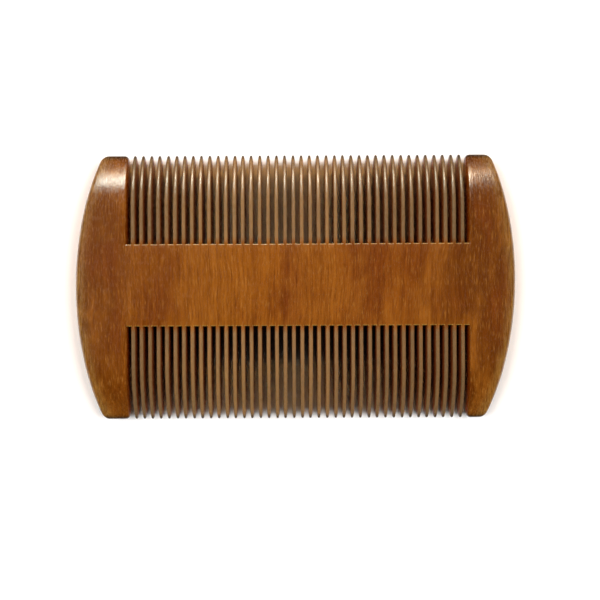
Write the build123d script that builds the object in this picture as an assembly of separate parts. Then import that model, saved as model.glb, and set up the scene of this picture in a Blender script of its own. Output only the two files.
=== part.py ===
"""Double-sided beard comb, sawn from one flat wooden board and lying on its back.

X runs along the board, Y runs along the teeth and Z is up through the thickness. The origin is
on the underside, at the middle of the board's length and width. Sizes are in millimetres.

The comb is a single board. Its regions are cut face to face, with no gap and no overlap: the
spine, the two end guards, and the two rows of teeth, each tooth a solid of its own.
"""

import os
from math import sqrt

from build123d import *

# Board
LENGTH = 100.0  # over the two bowed ends
WIDTH = 60.3  # from the upper tips to the lower tips
THICKNESS = 8.0  # of the spine
BOW_RADIUS = 77.5  # of each bowed end, seen from above
LEFT_BOW_Y = 0.0  # where the left end bulges most
RIGHT_BOW_Y = 1.75  # where the right end bulges most
OUTER_CORNER = 2.5  # radius of the guards' outer corners, seen from above
INNER_CORNER = 1.0  # radius of the guards' corners beside the teeth
RIM_DEPTH = 1.5  # how far in the rounding of a bowed end reaches
RIM_LAND = 0.6  # height of the flat band left between its two rounded edges

# Spine
UPPER_ROOT_Y = 9.7  # where the upper slots end
LOWER_ROOT_Y = -8.8  # where the lower slots end

# Teeth
TOOTH_COUNT = 40  # in each row
PITCH = 1.9  # from one tooth to the next
SLOT_WIDTH = 1.0
ROW_CENTRE_X = 0.5  # the rows sit a little right of the board's middle
TIP_LENGTH = 2.2  # the stretch where a tooth narrows, seen from above
TIP_WIDTH = 0.4

# Section along Y, the same for the teeth and the guards
NOSE_LENGTH = 12.8  # the stretch where the flat faces curve in towards the tips
TIP_HALF = 0.46  # half thickness at the end of the nose
TIP_ROUND = 0.2  # depth of the rounding over the very tip

HALF_LENGTH = LENGTH / 2
HALF_WIDTH = WIDTH / 2
HALF_THICKNESS = THICKNESS / 2
TOOTH_WIDTH = PITCH - SLOT_WIDTH
ROW_LENGTH = TOOTH_COUNT * PITCH + SLOT_WIDTH  # between the guards' inner faces
ROW_LEFT_X = ROW_CENTRE_X - ROW_LENGTH / 2
ROW_RIGHT_X = ROW_CENTRE_X + ROW_LENGTH / 2


def section_edges(root_y, side):
    """Edges of one side's section, from the upper root to the lower root round the tip."""
    nose_y = side * (HALF_WIDTH - NOSE_LENGTH)
    shoulder_y = side * (HALF_WIDTH - TIP_ROUND)
    flat = Line((root_y, HALF_THICKNESS), (nose_y, HALF_THICKNESS))
    nose = TangentArc((nose_y, HALF_THICKNESS), (shoulder_y, TIP_HALF), tangent=(side, 0))
    tip = ThreePointArc((shoulder_y, TIP_HALF), (side * HALF_WIDTH, 0), (shoulder_y, -TIP_HALF))
    low_nose = mirror(nose, Plane.XZ)
    low_flat = mirror(flat, Plane.XZ)
    return [flat, nose, tip, low_nose, low_flat]


def section_bar(section, start_x, length):
    """A bar with the given Y and Z section, running along X."""
    return extrude(Pos(start_x, 0, 0) * (Plane.YZ * section), amount=length)


def row_section(root_y, side):
    """Section of a tooth row, from its root to its tip."""
    root = Line((root_y, -HALF_THICKNESS), (root_y, HALF_THICKNESS))
    return make_face(section_edges(root_y, side) + [root])


def board_section():
    """Section of the whole board, from the upper tip to the lower tip."""
    top = Line((LOWER_ROOT_Y, HALF_THICKNESS), (UPPER_ROOT_Y, HALF_THICKNESS))
    underside = mirror(top, Plane.XZ)
    edges = section_edges(UPPER_ROOT_Y, 1) + section_edges(LOWER_ROOT_Y, -1)
    return make_face(edges + [top, underside])


def on_the_underside(shape):
    """Lift a shape made about the middle of the thickness so that the underside is at Z 0."""
    return Pos(0, 0, HALF_THICKNESS) * shape


def tooth(root_y, side):
    """One tooth at X 0, as wide as the pitch leaves, narrowing to a blunt point."""
    half = TOOTH_WIDTH / 2
    narrow_y = side * (HALF_WIDTH - TIP_LENGTH)
    tip_y = side * HALF_WIDTH
    root = Line((-half, root_y), (half, root_y))
    right = Line((half, root_y), (half, narrow_y))
    right_tip = TangentArc((half, narrow_y), (TIP_WIDTH / 2, tip_y), tangent=(0, side))
    end = Line((TIP_WIDTH / 2, tip_y), (-TIP_WIDTH / 2, tip_y))
    left_tip = mirror(right_tip, Plane.YZ)
    left = mirror(right, Plane.YZ)
    outline = make_face([root, right, right_tip, end, left_tip, left])
    prism = extrude(outline, amount=HALF_THICKNESS, both=True)
    return prism & section_bar(row_section(root_y, side), -PITCH, 2 * PITCH)


def tooth_row(root_y, side):
    """A row of separate teeth, a pitch apart."""
    one = on_the_underside(tooth(root_y, side))
    first_x = ROW_LEFT_X + SLOT_WIDTH + TOOTH_WIDTH / 2
    places = [Pos(first_x + i * PITCH, 0, 0) for i in range(TOOTH_COUNT)]
    return Compound([place * one.solid() for place in places])


def spine():
    """The solid band between the two rows."""
    width = UPPER_ROOT_Y - LOWER_ROOT_Y
    middle = Pos(ROW_CENTRE_X, (UPPER_ROOT_Y + LOWER_ROOT_Y) / 2, 0)
    return on_the_underside(middle * Box(ROW_LENGTH, width, THICKNESS))


def bow_disc(bow_y, side):
    """A disc whose rim is the rounded outer side of a guard."""
    inner = BOW_RADIUS - RIM_DEPTH
    half_land = RIM_LAND / 2
    rise = HALF_THICKNESS - half_land
    upper = EllipticalCenterArc((inner, half_land), RIM_DEPTH, rise, start_angle=0, arc_size=90)
    land = Line((BOW_RADIUS, -half_land), (BOW_RADIUS, half_land))
    lower = mirror(upper, Plane.XZ)
    core = Polyline(
        (inner, -HALF_THICKNESS),
        (0, -HALF_THICKNESS),
        (0, HALF_THICKNESS),
        (inner, HALF_THICKNESS),
    )
    rim_section = Plane.XZ * make_face([upper, land, lower, core])
    return Pos(side * (HALF_LENGTH - BOW_RADIUS), bow_y, 0) * revolve(rim_section, Axis.Z)


def guard_outline(inner_x, bow_y, side):
    """A guard seen from above, straight beside the teeth, with four rounded corners."""

    def bow_x(y):
        return side * (HALF_LENGTH - BOW_RADIUS + sqrt(BOW_RADIUS**2 - (y - bow_y) ** 2))

    upper_corner = (bow_x(HALF_WIDTH), HALF_WIDTH)
    lower_corner = (bow_x(-HALF_WIDTH), -HALF_WIDTH)
    bow = ThreePointArc(upper_corner, (side * HALF_LENGTH, bow_y), lower_corner)
    rest = Polyline(lower_corner, (inner_x, -HALF_WIDTH), (inner_x, HALF_WIDTH), upper_corner)
    outline = make_face([bow, rest])
    outer = outline.vertices().sort_by(lambda corner: side * corner.X)[2:]
    outline = fillet(outer, OUTER_CORNER)
    inner = outline.vertices().sort_by(lambda corner: side * corner.X)[:2]
    return fillet(inner, INNER_CORNER)


def guard(inner_x, bow_y, side):
    """A solid end of the board, with the same section along Y as the teeth beside it."""
    prism = extrude(guard_outline(inner_x, bow_y, side), amount=HALF_THICKNESS, both=True)
    bar = section_bar(board_section(), -HALF_LENGTH, LENGTH)
    return on_the_underside(prism & bar & bow_disc(bow_y, side))


os.makedirs("parts", exist_ok=True)
export_step(spine(), "parts/spine.step")
export_step(guard(ROW_LEFT_X, LEFT_BOW_Y, -1), "parts/left_guard.step")
export_step(guard(ROW_RIGHT_X, RIGHT_BOW_Y, 1), "parts/right_guard.step")
export_step(tooth_row(UPPER_ROOT_Y, 1), "parts/upper_teeth.step")
export_step(tooth_row(LOWER_ROOT_Y, -1), "parts/lower_teeth.step")
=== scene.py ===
"""Looks of the double-sided wooden beard comb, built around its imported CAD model.

The comb is one oiled, hand-sanded board. Each CAD region gets a detailed mesh that meets its
neighbours face to face, and one procedural wood runs through all of them without a break.
Lengths are in metres, in the CAD model's frame: X along the board, Y along the teeth, Z up.
"""

import math
import random

import bmesh
import bpy
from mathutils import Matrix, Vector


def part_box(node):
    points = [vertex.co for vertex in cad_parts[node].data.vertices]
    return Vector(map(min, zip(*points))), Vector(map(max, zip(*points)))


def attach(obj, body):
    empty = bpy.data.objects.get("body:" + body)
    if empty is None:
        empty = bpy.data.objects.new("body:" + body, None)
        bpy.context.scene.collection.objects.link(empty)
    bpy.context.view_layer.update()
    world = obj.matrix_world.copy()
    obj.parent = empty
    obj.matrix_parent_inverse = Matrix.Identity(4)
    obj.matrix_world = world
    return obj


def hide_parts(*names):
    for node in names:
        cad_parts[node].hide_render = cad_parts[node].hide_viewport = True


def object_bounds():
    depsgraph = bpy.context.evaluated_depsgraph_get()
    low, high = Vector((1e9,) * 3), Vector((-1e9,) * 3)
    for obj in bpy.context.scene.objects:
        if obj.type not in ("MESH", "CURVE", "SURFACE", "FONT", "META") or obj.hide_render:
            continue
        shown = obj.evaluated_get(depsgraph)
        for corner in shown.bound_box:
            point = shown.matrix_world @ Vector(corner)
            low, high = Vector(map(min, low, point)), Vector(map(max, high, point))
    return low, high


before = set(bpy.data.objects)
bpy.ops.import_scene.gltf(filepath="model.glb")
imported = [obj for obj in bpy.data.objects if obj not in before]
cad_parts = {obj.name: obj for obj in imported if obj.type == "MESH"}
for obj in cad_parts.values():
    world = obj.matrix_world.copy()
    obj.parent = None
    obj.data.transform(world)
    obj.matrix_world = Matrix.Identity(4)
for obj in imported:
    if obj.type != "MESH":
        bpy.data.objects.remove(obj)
cad_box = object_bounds()

MM = 0.001

# Sizes read from the frame
SPINE_LOW, SPINE_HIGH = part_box("spine")
LEFT_LOW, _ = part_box("left_guard")
_, RIGHT_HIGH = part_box("right_guard")
ROW_LOW, ROW_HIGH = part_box("upper_teeth")
MID_Z = (SPINE_LOW.z + SPINE_HIGH.z) / 2
HALF_THICKNESS = (SPINE_HIGH.z - SPINE_LOW.z) / 2
TIP_Y = ROW_HIGH.y  # both rows end this far from the middle
ROOT_Y = {1: SPINE_HIGH.y, -1: SPINE_LOW.y}  # where the slots of each row end
ROW_LEFT, ROW_RIGHT = SPINE_LOW.x, SPINE_HIGH.x
TEETH = 40  # in each row
SLOT = ROW_LOW.x - ROW_LEFT
PITCH = (ROW_RIGHT - ROW_LEFT - SLOT) / TEETH
TOOTH = PITCH - SLOT

# Section along Y
NOSE = 12.8 * MM  # the stretch where the flat faces curve in towards the tips
TIP_HALF = 0.46 * MM  # half thickness at the end of the nose
TIP_ROUND = 0.3 * MM  # the very tip closes over this length

# Teeth
ARRIS = 0.26 * MM  # radius sanded onto the slots' edges
POINT = 2.2 * MM  # the stretch where a tooth narrows, seen from above
POINT_WIDTH = 0.42 * MM
ROUND_FROM = 12 * MM  # the arris starts growing this far from the tip
ROUND_POWER = 1.5  # above 1, the arris stays small for longer and then grows faster
PALE_FROM = 0.8 * MM  # the teeth turn paler within this distance of their roots
ROOT_JITTER = 0.03 * MM  # uneven sawing
TIP_JITTER = 0.07 * MM  # uneven sawing and a little warp
WIDTH_JITTER = 0.04  # share of a tooth's width

# Guards
BOW_RADIUS = 77.5 * MM
BOW_Y = {-1: 0.0, 1: 1.75 * MM}  # where each bowed end bulges most
OUTER_CORNER = 2.5 * MM
INNER_CORNER = 1.0 * MM
GUARD_ARRIS = ARRIS * 1.5  # radius sanded onto the edges beside the teeth
RIM = 1.6 * MM  # depth of the rounding along the bowed ends
RIM_POWER = 2.3  # 2 is an ellipse, more is squarer
RIM_HIGHLIGHT = 0.7  # how pale the rims are painted, a painted highlight for the light the rounded rims catch, where 1 is as pale as the slots' ends
RIM_HIGHLIGHT_REACH = 3.2 * MM  # how far in from the bowed ends the painted rim highlight reaches
RIM_HIGHLIGHT_HEIGHT = 0.6  # the bowed sides get less of the painted rim highlight below this share of the half thickness

# Meshes
CORNER_STEPS = 4  # faces round a sanded arris
ROOT_STEPS = 5  # rings along the flat stretch of a tooth
NOSE_STEPS = 26  # rings along its curved stretch
NOSE_CROWDING = 1.5  # above 1, those rings lie closer together at the tip
FACE_STEPS = 8  # steps across the plain stretch of the spine or of a guard
RIM_STEPS = 8  # faces round a bowed rim
SMALLEST = 1e-6  # half size of a tip, so that it never shrinks to nothing
WELD = 1e-7  # points closer than this are one point
SMOOTH_ANGLE = math.radians(38)  # faces that meet at a larger angle show an edge

# Wood
GRAIN_SWAY = 3.5  # in millimetres, how far the grain wanders to either side
PALEST_X = -5  # in millimetres, where along the rows the teeth are palest, under a painted light that is brightest here and falls off towards the row ends
TIP_DARK_FROM = 1.4  # in millimetres from the tips, where the darker tips begin
TIP_DARK_FULL = 0.2  # in millimetres from the tips, where they are fully dark
RELIEF = 0.034 * MM  # depth of the pores and fibres

# Studio
TABLE_HALF = 1.5  # half the side of the table top
LAMP_DISTANCE = 0.9  # from the comb to every lamp
WARM = (1.0, 0.5, 0.14)  # colour of the light from behind the upper row
NEUTRAL = (1.0, 1.0, 1.0)  # colour of the fill lights and the surround
SHEEN = (0.92, 1.0, 0.88)  # colour of the glint
WARMTH = (1.0, 0.93, 0.88)  # colour of the light on the comb, taken together
LIGHT_LEVEL = 1.55  # brightness of a white surface that faces up
VEIL = (0.004, 0.0055, 0.0055)  # light that the oiled surface mirrors


def arris_offsets(radius):
    """Distance in from an edge, and drop below the face, for each step of a rounded arris."""
    steps = [math.pi / 2 * i / CORNER_STEPS for i in range(CORNER_STEPS + 1)]
    return [(radius * (1 - math.cos(a)), radius * (1 - math.sin(a))) for a in steps]


def arris_drop(distance, radius):
    """How far a rounded arris lies below the face, at this distance from the edge."""
    if distance >= radius:
        return 0.0
    return radius - math.sqrt(radius**2 - (radius - distance) ** 2)


def half_thickness(y):
    """Half the board's thickness: flat faces, then an arc down to the tip."""
    from_tip = max(0.0, TIP_Y - abs(y))
    drop = HALF_THICKNESS - TIP_HALF
    radius = (NOSE**2 + drop**2) / (2 * drop)
    along = max(0.0, NOSE - from_tip)
    half = HALF_THICKNESS - radius + math.sqrt(radius**2 - along**2)
    if from_tip < TIP_ROUND:
        half *= math.sqrt(1 - (1 - from_tip / TIP_ROUND) ** 2)
    return half


class Shell:
    """Collects a mesh's points, each with its marks, and its faces."""

    def __init__(self):
        self.points = []
        self.lit_edge = []
        self.shaded_wall = []
        self.tooth = []
        self.faces = []

    def point(self, x, y, z, lit_edge=0.0, shaded_wall=0.0, tooth=0.0):
        """Add a point and give back its number."""
        self.points.append((x, y, z))
        self.lit_edge.append(lit_edge)
        self.shaded_wall.append(shaded_wall)
        self.tooth.append(tooth)
        return len(self.points) - 1

    def strip(self, first, second, closed=False):
        """Quads between two lines of points."""
        count = len(first) if closed else len(first) - 1
        for i in range(count):
            j = (i + 1) % len(first)
            self.faces.append((first[i], first[j], second[j], second[i]))

    def grid(self, rows):
        """Quads between each line of points and the next."""
        for first, second in zip(rows, rows[1:]):
            self.strip(first, second)

    def make(self, name, node):
        """A smooth mesh object that stands for a CAD node."""
        mesh = bpy.data.meshes.new(name)
        mesh.from_pydata(self.points, [], self.faces)
        for mark in ("lit_edge", "shaded_wall", "tooth"):
            layer = mesh.attributes.new(mark, "FLOAT", "POINT")
            layer.data.foreach_set("value", getattr(self, mark))
        piece = bpy.data.objects.new(name, mesh)
        bpy.context.scene.collection.objects.link(piece)
        clean(mesh)
        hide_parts(node)
        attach(piece, "root")
        return piece


def clean(mesh):
    """Weld points that coincide, drop faces without area, and turn all faces outwards."""
    work = bmesh.new()
    work.from_mesh(mesh)
    bmesh.ops.remove_doubles(work, verts=work.verts, dist=WELD)
    bmesh.ops.dissolve_degenerate(work, edges=work.edges, dist=WELD)
    bmesh.ops.recalc_face_normals(work, faces=work.faces)
    work.to_mesh(mesh)
    work.free()
    mesh.shade_smooth()
    mesh.set_sharp_from_angle(angle=SMOOTH_ANGLE)


def tooth_places(seed):
    """Centre X at the root, centre X at the tip and width of each tooth of one row."""
    draw = random.Random(seed)
    places = []
    for i in range(TEETH):
        centre = ROW_LEFT + SLOT + TOOTH / 2 + i * PITCH
        root_x = centre + draw.uniform(-ROOT_JITTER, ROOT_JITTER)
        tip_x = centre + draw.uniform(-TIP_JITTER, TIP_JITTER)
        width = TOOTH * (1 + draw.uniform(-WIDTH_JITTER, WIDTH_JITTER))
        places.append((root_x, tip_x, width))
    return places


PLACES = {1: tooth_places(seed=11), -1: tooth_places(seed=23)}  # upper row and lower row


def tooth_half_width(width, from_tip):
    """Half a tooth's width, seen from above."""
    half = width / 2
    if from_tip < POINT:
        half -= (half - POINT_WIDTH / 2) * (1 - from_tip / POINT) ** 2
    if from_tip < TIP_ROUND:
        half *= math.sqrt(1 - (1 - max(0.0, from_tip) / TIP_ROUND) ** 2)
    return half


def tooth_arris(half_x, half_z, from_tip):
    """The arris grows towards the tip until the section is fully round."""
    growth = max(0.0, 1 - from_tip / ROUND_FROM)
    radius = ARRIS + (half_x - ARRIS) * growth**ROUND_POWER
    return max(SMALLEST, min(radius, half_x, half_z))


def tooth_stations(side):
    """Y of the rings along a tooth, closest together at the tip."""
    root = abs(ROOT_Y[side])
    stations = [root + (TIP_Y - NOSE - root) * i / ROOT_STEPS for i in range(ROOT_STEPS)]
    for i in range(NOSE_STEPS + 1):
        stations.append(TIP_Y - NOSE * (1 - i / NOSE_STEPS) ** NOSE_CROWDING)
    return [side * y for y in stations]


def tooth_ring(shell, centre_x, y, half_x, half_z, radius):
    """A rounded rectangle of points round one tooth, across Y."""
    ring = []
    root = abs(ROOT_Y[1 if y > 0 else -1])
    corner = arris_offsets(radius)
    span = [(-half_x + inset, drop) for inset, drop in corner]
    span.append((0.0, 0.0))
    span += [(half_x - inset, drop) for inset, drop in reversed(corner)]
    for up in (1, -1):
        for x, drop in span if up == 1 else reversed(span):
            on_wall = 1.0 if drop >= radius else 0.0
            z = MID_Z + up * (half_z - drop)
            paleness = min(1.0, (abs(y) - root) / PALE_FROM)
            ring.append(shell.point(centre_x + x, y, z, shaded_wall=on_wall, tooth=paleness))
    return ring


def teeth(name, node, side):
    """One row of teeth, each a closed shell with a sanded arris and a rounded tip."""
    shell = Shell()
    stations = tooth_stations(side)
    for root_x, tip_x, width in PLACES[side]:
        rings = []
        for y in stations:
            from_tip = TIP_Y - abs(y)
            along = (abs(y) - abs(ROOT_Y[side])) / (TIP_Y - abs(ROOT_Y[side]))
            half_x = max(SMALLEST, tooth_half_width(width, from_tip))
            half_z = max(SMALLEST, half_thickness(y))
            radius = tooth_arris(half_x, half_z, from_tip)
            centre_x = root_x + (tip_x - root_x) * along**2
            rings.append(tooth_ring(shell, centre_x, y, half_x, half_z, radius))
        for first, second in zip(rings, rings[1:]):
            shell.strip(first, second, closed=True)
        shell.faces.append(tuple(rings[0]))
        shell.faces.append(tuple(rings[-1]))
    return shell.make(name, node)


def spine_columns(side):
    """X of every column along one root line, with its distance from the nearest slot."""
    columns = [(ROW_LEFT, 0.0)]
    corner = [inset for inset, _ in arris_offsets(ARRIS)]
    for root_x, _, width in PLACES[side]:
        half = width / 2
        columns += [(root_x - half + inset, inset) for inset in corner]
        columns.append((root_x, half))
        columns += [(root_x + half - inset, inset) for inset in reversed(corner)]
    columns.append((ROW_RIGHT, 0.0))
    return columns


def root_rows(side):
    """Y of the rows beside one root line, from the slot's end into the spine."""
    return [ROOT_Y[side] - side * inset for inset, _ in arris_offsets(ARRIS)]


def inner_rows():
    """Y of the spine's other rows, from the upper side down."""
    top, bottom = ROOT_Y[1] - ARRIS, ROOT_Y[-1] + ARRIS
    return [top + (bottom - top) * i / FACE_STEPS for i in range(1, FACE_STEPS)]


def spine(name, node):
    """The band between the rows, with an arris at the end of each slot."""
    shell = Shell()
    upper, lower = spine_columns(1), spine_columns(-1)
    rows = root_rows(1) + inner_rows() + list(reversed(root_rows(-1)))
    sheets = {}
    for up in (1, -1):
        sheet = []
        for y in rows:
            share = (ROOT_Y[1] - y) / (ROOT_Y[1] - ROOT_Y[-1])
            into = min(ROOT_Y[1] - y, y - ROOT_Y[-1])
            line = []
            for (upper_x, upper_gap), (lower_x, lower_gap) in zip(upper, lower):
                x = upper_x + (lower_x - upper_x) * share
                gap = upper_gap if share < 0.5 else lower_gap
                drop = arris_drop(max(gap, into), ARRIS)
                # painted highlight on the rounded edge at each slot's end
                on_lit_edge = 1.0 if 0 < drop < ARRIS else 0.0
                on_wall = 1.0 if drop >= ARRIS else 0.0
                z = MID_Z + up * (HALF_THICKNESS - drop)
                line.append(shell.point(x, y, z, lit_edge=on_lit_edge, shaded_wall=on_wall))
            sheet.append(line)
        shell.grid(sheet)
        sheets[up] = sheet
    for row in (0, -1):
        shell.strip(sheets[1][row], sheets[-1][row])
    for column in (0, -1):
        upper_edge = [line[column] for line in sheets[1]]
        lower_edge = [line[column] for line in sheets[-1]]
        shell.strip(upper_edge, lower_edge)
    return shell.make(name, node)


def bow_x(y, side):
    """X of a guard's outer outline, with its rounded corners."""
    outer_x = LEFT_LOW.x if side < 0 else RIGHT_HIGH.x
    centre_x = abs(outer_x) - BOW_RADIUS
    end = 1 if y > 0 else -1
    past_bow = end * BOW_Y[side]
    corner_y = TIP_Y - OUTER_CORNER
    reach = BOW_RADIUS - OUTER_CORNER
    corner_x = centre_x + math.sqrt(reach**2 - (corner_y - past_bow) ** 2)
    tangent_y = past_bow + (corner_y - past_bow) * BOW_RADIUS / reach
    if abs(y) > tangent_y:
        rise = min(OUTER_CORNER, abs(y) - corner_y)
        return side * (corner_x + math.sqrt(OUTER_CORNER**2 - rise**2))
    return side * (centre_x + math.sqrt(BOW_RADIUS**2 - (abs(y) - past_bow) ** 2))


def guard_inner_x(y, side):
    """X of a guard's inner outline, beside the teeth."""
    straight = ROW_LEFT if side < 0 else ROW_RIGHT
    from_tip = max(0.0, TIP_Y - abs(y))
    if from_tip >= INNER_CORNER:
        return straight
    run = INNER_CORNER - math.sqrt(INNER_CORNER**2 - (INNER_CORNER - from_tip) ** 2)
    return straight + side * run


def rim_share(distance, depth):
    """How much of the full thickness a rounded rim has at this distance from its edge."""
    if distance >= depth:
        return 1.0
    return (1 - (1 - distance / depth) ** RIM_POWER) ** (1 / RIM_POWER)


def guard_rows():
    """Y of the rows of a guard, from the upper tip to the lower tip."""
    ends = {}
    for side in (1, -1):
        stations = [y for y in tooth_stations(side) if abs(y) > abs(ROOT_Y[side])]
        ends[side] = list(reversed(stations)) + root_rows(side)
    return ends[1] + inner_rows() + list(reversed(ends[-1]))


def guard(name, node, side):
    """A solid end: flush with the spine, an arris beside the teeth, a rounded bowed rim.

    The upper and lower sheets meet along the bowed rim and at both tips.
    """
    shell = Shell()
    inner_edge = {}
    for up in (1, -1):
        sheet = []
        for y in guard_rows():
            half = half_thickness(y)
            inner_x, outer_x = guard_inner_x(y, side), bow_x(y, side)
            width = abs(outer_x - inner_x)
            radius = max(SMALLEST, min(GUARD_ARRIS, half))
            depth = max(SMALLEST, RIM * half / HALF_THICKNESS)
            into = max(0.0, min(ROOT_Y[1] - y, y - ROOT_Y[-1]))
            insets = [inset for inset, _ in arris_offsets(radius)]
            face = width - depth - radius
            insets += [radius + face * i / FACE_STEPS for i in range(1, FACE_STEPS)]
            for i in range(RIM_STEPS + 1):
                insets.append(width - depth * (1 - math.sin(math.pi / 2 * i / RIM_STEPS)))
            line = []
            for inset in insets:
                drop = min(half, arris_drop(max(inset, into * radius / ARRIS), radius))
                share = rim_share(width - inset, depth)
                height = half * share - drop
                on_wall = 1.0 if drop >= radius else 0.0
                # painted highlight along the bowed rim, for the light that the rounded edge
                # catches
                rim_highlight = RIM_HIGHLIGHT * max(0.0, 1 - (width - inset) / RIM_HIGHLIGHT_REACH)
                rim_highlight *= min(1.0, share / RIM_HIGHLIGHT_HEIGHT)
                x = inner_x + side * inset
                z = MID_Z + up * height
                line.append(shell.point(x, y, z, lit_edge=rim_highlight, shaded_wall=on_wall))
            sheet.append(line)
        shell.grid(sheet)
        inner_edge[up] = [line[0] for line in sheet]
    shell.strip(inner_edge[1], inner_edge[-1])
    return shell.make(name, node)


# ---------------------------------------------------------------- materials


def seen(red, green, blue):
    """The surface colour that the studio's light shows as these display values of 0 to 255."""

    def linear(value):
        value /= 255
        return value / 12.92 if value <= 0.04045 else ((value + 0.055) / 1.055) ** 2.4

    shown = (linear(red), linear(green), linear(blue))
    colour = [max(0.0, s - v) / (LIGHT_LEVEL * w) for s, v, w in zip(shown, VEIL, WARMTH)]
    return (*colour, 1.0)


class Shader:
    """Short calls for building a material's nodes."""

    def __init__(self, name):
        self.material = bpy.data.materials.new(name)
        self.material.use_nodes = True
        self.tree = self.material.node_tree
        self.surface = self.tree.nodes["Principled BSDF"]

    def node(self, kind, inputs=(), **settings):
        """A node of this kind, with its inputs and settings filled in."""
        made = self.tree.nodes.new(kind)
        for key, value in settings.items():
            setattr(made, key, value)
        for key, value in dict(inputs).items():
            self.set(made.inputs[key], value)
        return made

    def set(self, socket, value):
        """Give an input a value, or link it to another node's output."""
        if isinstance(value, bpy.types.NodeSocket):
            self.tree.links.new(value, socket)
        else:
            socket.default_value = value

    def maths(self, operation, *values):
        inputs = dict(enumerate(values))
        return self.node("ShaderNodeMath", inputs, operation=operation).outputs[0]

    def scaled(self, vector, *factors):
        """The vector with X, Y and Z each multiplied by a factor of its own."""
        inputs = {0: vector, 1: factors}
        return self.node("ShaderNodeVectorMath", inputs, operation="MULTIPLY").outputs[0]

    def noise(self, vector, detail=2.0, roughness=0.5):
        inputs = {"Vector": vector, "Scale": 1.0, "Detail": detail, "Roughness": roughness}
        return self.node("ShaderNodeTexNoise", inputs).outputs["Fac"]

    def between(self, value, low, high, to_low=0.0, to_high=1.0):
        """A smooth step of value from low to high."""
        inputs = {"Value": value, 1: low, 2: high, 3: to_low, 4: to_high}
        made = self.node("ShaderNodeMapRange", inputs, interpolation_type="SMOOTHSTEP")
        return made.outputs[0]

    def ramp(self, factor, stops):
        """A colour that runs through the stops as the factor goes from 0 to 1."""
        made = self.node("ShaderNodeValToRGB", {"Fac": factor})
        elements = made.color_ramp.elements
        while len(elements) < len(stops):
            elements.new(0.5)
        for element, (place, colour) in zip(elements, stops):
            element.position = place
            element.color = colour
        return made.outputs["Color"]

    def mix(self, factor, first, second, blend="MIX"):
        made = self.node("ShaderNodeMix", data_type="RGBA", blend_type=blend)
        self.set(made.inputs["Factor"], factor)
        self.set(made.inputs["A"], first)
        self.set(made.inputs["B"], second)
        return made.outputs["Result"]

    def mark(self, name):
        """A value stored on the mesh's points."""
        return self.node("ShaderNodeAttribute", attribute_name=name).outputs["Fac"]


def grain_place(shader, in_mm):
    """The place in millimetres, swayed in X so that the grain along Y isn't quite straight."""
    wander = shader.noise(shader.scaled(in_mm, 0.05, 0.05, 0.05), detail=3)
    sway = shader.maths("MULTIPLY", shader.maths("SUBTRACT", wander, 0.5), GRAIN_SWAY)
    shift = shader.node("ShaderNodeCombineXYZ", {"X": sway}).outputs[0]
    return shader.node("ShaderNodeVectorMath", {0: in_mm, 1: shift}, operation="ADD").outputs[0]


def broad_bands(shader, grain):
    """Bands of lighter and darker wood across the board, from its left end to its right end,
    darker towards both ends, partly as painted shade for light that falls off away from the
    middle.
    """
    across = shader.node("ShaderNodeSeparateXYZ", {0: grain}).outputs["X"]
    length_mm = (RIGHT_HIGH.x - LEFT_LOW.x) / MM
    share = shader.maths("MULTIPLY_ADD", across, 1 / length_mm, 0.5)
    # the darker ends of this ramp are partly painted shade
    bands = [
        (0.03, seen(113, 61, 21)),
        (0.16, seen(136, 74, 23)),
        (0.33, seen(155, 89, 28)),
        (0.46, seen(152, 85, 27)),
        (0.48, seen(120, 58, 24)),
        (0.50, seen(124, 60, 24)),
        (0.52, seen(150, 84, 28)),
        (0.60, seen(148, 82, 27)),
        (0.635, seen(130, 67, 25)),
        (0.69, seen(132, 69, 25)),
        (0.73, seen(148, 82, 27)),
        (0.83, seen(134, 74, 25)),
        (0.88, seen(112, 59, 20)),
        (0.97, seen(112, 60, 21)),
    ]
    return shader.ramp(share, bands)


def mottled(shader, grain, tone):
    """Reddish and golden patches, drawn out along the grain."""
    mottle = shader.noise(shader.scaled(grain, 0.18, 0.07, 0.18), detail=3, roughness=0.55)
    reddish = shader.maths("MULTIPLY", shader.between(mottle, 0.48, 0.68), 0.6)
    golden = shader.maths("MULTIPLY", shader.between(mottle, 0.52, 0.34), 0.5)
    tone = shader.mix(reddish, tone, seen(122, 60, 22))
    return shader.mix(golden, tone, seen(166, 98, 34))


def streaked(shader, grain, tone):
    """Long fine streaks along the grain, some darker and some lighter than the wood."""
    streaks = shader.noise(shader.scaled(grain, 1.8, 0.05, 0.8), detail=5, roughness=0.9)
    darker, lighter = (0.76, 0.71, 0.66, 1), (1.24, 1.28, 1.34, 1)
    factor = shader.ramp(streaks, [(0.38, darker), (0.62, lighter)])
    return shader.mix(1.0, tone, factor, "MULTIPLY")


def pored(shader, grain, fibres, tone):
    """Thin dark pores and a few pale flecks."""
    pores = shader.maths("MULTIPLY", shader.between(fibres, 0.46, 0.34), 0.42)
    tone = shader.mix(pores, tone, seen(92, 40, 10))
    flecks = shader.noise(shader.scaled(grain, 4.2, 0.4, 3.0), detail=2)
    pale = shader.maths("MULTIPLY", shader.between(flecks, 0.55, 0.72), 0.42)
    return shader.mix(pale, tone, seen(196, 132, 62))


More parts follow.
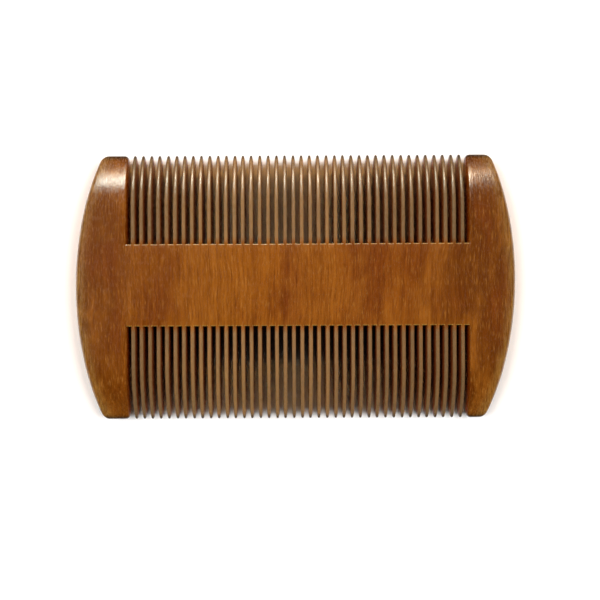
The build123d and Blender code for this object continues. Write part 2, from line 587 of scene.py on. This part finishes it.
def pale_teeth(shader, in_mm, tone):
    """Teeth are paler than the spine, partly sanded wood and partly painted sheen, and palest
    in the middle of the rows under a painted light that falls off towards their ends.
    """
    tooth = shader.mark("tooth")
    # partly painted sheen: the teeth are mixed towards a paler, olive tone
    tone = shader.mix(shader.maths("MULTIPLY", tooth, 0.5), tone, seen(160, 138, 98))
    across = shader.node("ShaderNodeSeparateXYZ", {0: in_mm}).outputs["X"]
    from_palest = shader.maths("ABSOLUTE", shader.maths("SUBTRACT", across, PALEST_X))
    near, far = 8, 32  # in millimetres
    # painted light: brightest near PALEST_X, darker towards the ends of the rows
    paleness = shader.between(from_palest, near, far, 1.04, 0.78)
    return shader.mix(tooth, tone, shader.mix(1.0, tone, paleness, "MULTIPLY"))


def lit_edges_and_shaded_walls(shader, fibres, tone):
    """Painted highlight on the rounded edges at the slots' ends and on the rims; the slot walls
    are painted darker and redder, as painted shade.
    """
    lit_edge = shader.mark("lit_edge")
    uneven = shader.between(fibres, 0.35, 0.65, 0.2, 0.9)
    # painted highlight on the rounded edges, uneven along the fibres
    edge_light = shader.maths("MULTIPLY", lit_edge, uneven)
    tone = shader.mix(edge_light, tone, seen(205, 158, 80))
    # painted shade: the slot walls are painted darker and redder, for the dim, warm light deep
    # in the slots
    shaded_wall = shader.maths("MULTIPLY", shader.mark("shaded_wall"), 0.7)
    return shader.mix(shaded_wall, tone, seen(165, 68, 14))


def tip_shade_and_end_grain(shader, in_mm, tone):
    """The tips are darker: partly end grain that has drunk more of the oil, partly painted
    shade where the rounded tips turn away from the light.
    """
    along = shader.node("ShaderNodeSeparateXYZ", {0: in_mm}).outputs["Y"]
    from_middle = shader.maths("ABSOLUTE", along)
    tip = TIP_Y / MM
    end = shader.between(from_middle, tip - TIP_DARK_FROM, tip - TIP_DARK_FULL)
    # painted shade and darker end grain on the tips
    return shader.mix(shader.maths("MULTIPLY", end, 0.85), tone, seen(52, 38, 20))


def oil_gloss(shader, pits):
    """Glossy where the oil has pooled, duller on the teeth and on the rims and edges that carry
    the painted highlight.
    """
    gloss = shader.between(pits, 0.35, 0.6, 0.31, 0.19)
    gloss = shader.maths("MULTIPLY_ADD", shader.mark("tooth"), 0.06, gloss)
    return shader.maths("MULTIPLY_ADD", shader.mark("lit_edge"), 0.12, gloss)


def oiled_wood():
    """Reddish-brown oiled wood with its grain along the teeth."""
    shader = Shader("oiled_wood")
    place = shader.node("ShaderNodeTexCoord").outputs["Object"]
    in_mm = shader.scaled(place, 1 / MM, 1 / MM, 1 / MM)
    grain = grain_place(shader, in_mm)
    fibres = shader.noise(shader.scaled(grain, 3.2, 0.2, 2.0), detail=3, roughness=0.6)
    pits = shader.noise(shader.scaled(grain, 3.0, 0.8, 3.0), detail=3, roughness=0.6)

    tone = broad_bands(shader, grain)
    tone = mottled(shader, grain, tone)
    tone = streaked(shader, grain, tone)
    tone = pored(shader, grain, fibres, tone)
    tone = pale_teeth(shader, in_mm, tone)
    tone = lit_edges_and_shaded_walls(shader, fibres, tone)
    tone = tip_shade_and_end_grain(shader, in_mm, tone)

    rougher_teeth = shader.maths("MULTIPLY_ADD", shader.mark("tooth"), 0.5, 1.0)
    height = shader.maths("MULTIPLY", shader.maths("ADD", fibres, pits), rougher_teeth)
    relief = {"Strength": 0.9, "Distance": RELIEF, "Height": height}
    bump = shader.node("ShaderNodeBump", relief).outputs[0]
    shader.set(shader.surface.inputs["Base Color"], tone)
    shader.set(shader.surface.inputs["Roughness"], oil_gloss(shader, pits))
    shader.set(shader.surface.inputs["Normal"], bump)
    return shader.material


def pale_floor():
    """A plain white table top."""
    shader = Shader("pale_floor")
    shader.surface.inputs["Base Color"].default_value = (0.98, 0.98, 0.98, 1)
    shader.surface.inputs["Roughness"].default_value = 0.9
    shader.surface.inputs["Specular IOR Level"].default_value = 0.0
    return shader.material


# ---------------------------------------------------------------- studio


def floor():
    """A plain pale table top, level with the comb's underside."""
    half = TABLE_HALF
    mesh = bpy.data.meshes.new("table_top")
    corners = [(-half, -half, 0), (half, -half, 0), (half, half, 0), (-half, half, 0)]
    mesh.from_pydata(corners, [], [(0, 1, 2, 3)])
    mesh.materials.append(pale_floor())
    table = bpy.data.objects.new("table_top", mesh)
    bpy.context.scene.collection.objects.link(table)
    table.location.z = cad_box[0].z


def softbox(name, azimuth, elevation, size, power, colour=NEUTRAL, roll=0):
    """A soft light aimed at the comb. Azimuth 0 stands on the +Y side and 90 on +X."""
    data = bpy.data.lights.new(name, "AREA")
    data.shape = "RECTANGLE"
    data.size, data.size_y = size
    data.energy = power
    data.color = colour
    lamp = bpy.data.objects.new(name, data)
    bpy.context.scene.collection.objects.link(lamp)
    around, up = math.radians(azimuth), math.radians(elevation)
    lamp.location = (
        LAMP_DISTANCE * math.sin(around) * math.cos(up),
        LAMP_DISTANCE * math.cos(around) * math.cos(up),
        LAMP_DISTANCE * math.sin(up),
    )
    lamp.rotation_euler = (-lamp.location).to_track_quat("-Z", "Y").to_euler()
    lamp.rotation_euler.rotate_axis("Z", math.radians(roll))
    return lamp


def studio():
    """A low strip light behind the upper row, matt fill lights, and a light for the sheen."""
    softbox("main_light", azimuth=0, elevation=43, size=(0.5, 0.08), power=2.8, colour=WARM)
    for name, azimuth in (("left_fill", -79), ("right_fill", 79)):
        fill = softbox(name, azimuth, elevation=58, size=(0.4, 0.4), power=6.3)
        fill.visible_glossy = False
    sheen = softbox("sheen_light", -6, 48.3, (0.46, 0.1), power=9.6, colour=SHEEN, roll=7)
    sheen.visible_diffuse = False
    world = bpy.data.worlds.new("surround")
    world.use_nodes = True
    background = world.node_tree.nodes["Background"]
    background.inputs["Color"].default_value = (*NEUTRAL, 1)
    background.inputs["Strength"].default_value = 0.02
    bpy.context.scene.world = world
    bpy.context.scene.view_settings.view_transform = "Standard"


def camera():
    """Straight above the comb and close to it, a little left of its middle."""
    distance = 180 * MM  # above the middle of the thickness
    view_width = 137.7 * MM  # seen at that distance
    stand_x = -2.6 * MM
    frame_middle_x, frame_middle_y = 1.06 * MM, -3.05 * MM
    turn = math.radians(-0.28)  # the comb lies a little askew in the picture
    data = bpy.data.cameras.new("camera")
    data.lens = data.sensor_width * distance / view_width
    data.shift_x = (frame_middle_x - stand_x) / view_width
    data.shift_y = frame_middle_y / view_width
    data.clip_start = 0.01
    eye = bpy.data.objects.new("camera", data)
    eye.location = (stand_x, 0, MID_Z + distance)
    eye.rotation_euler = (0, 0, turn)
    bpy.context.scene.collection.objects.link(eye)
    bpy.context.scene.camera = eye


wood = oiled_wood()
pieces = [
    spine("spine_board", "spine"),
    guard("left_guard_board", "left_guard", -1),
    guard("right_guard_board", "right_guard", 1),
    teeth("upper_teeth_row", "upper_teeth", 1),
    teeth("lower_teeth_row", "lower_teeth", -1),
]
for piece in pieces:
    piece.data.materials.append(wood)
floor()
studio()
camera()
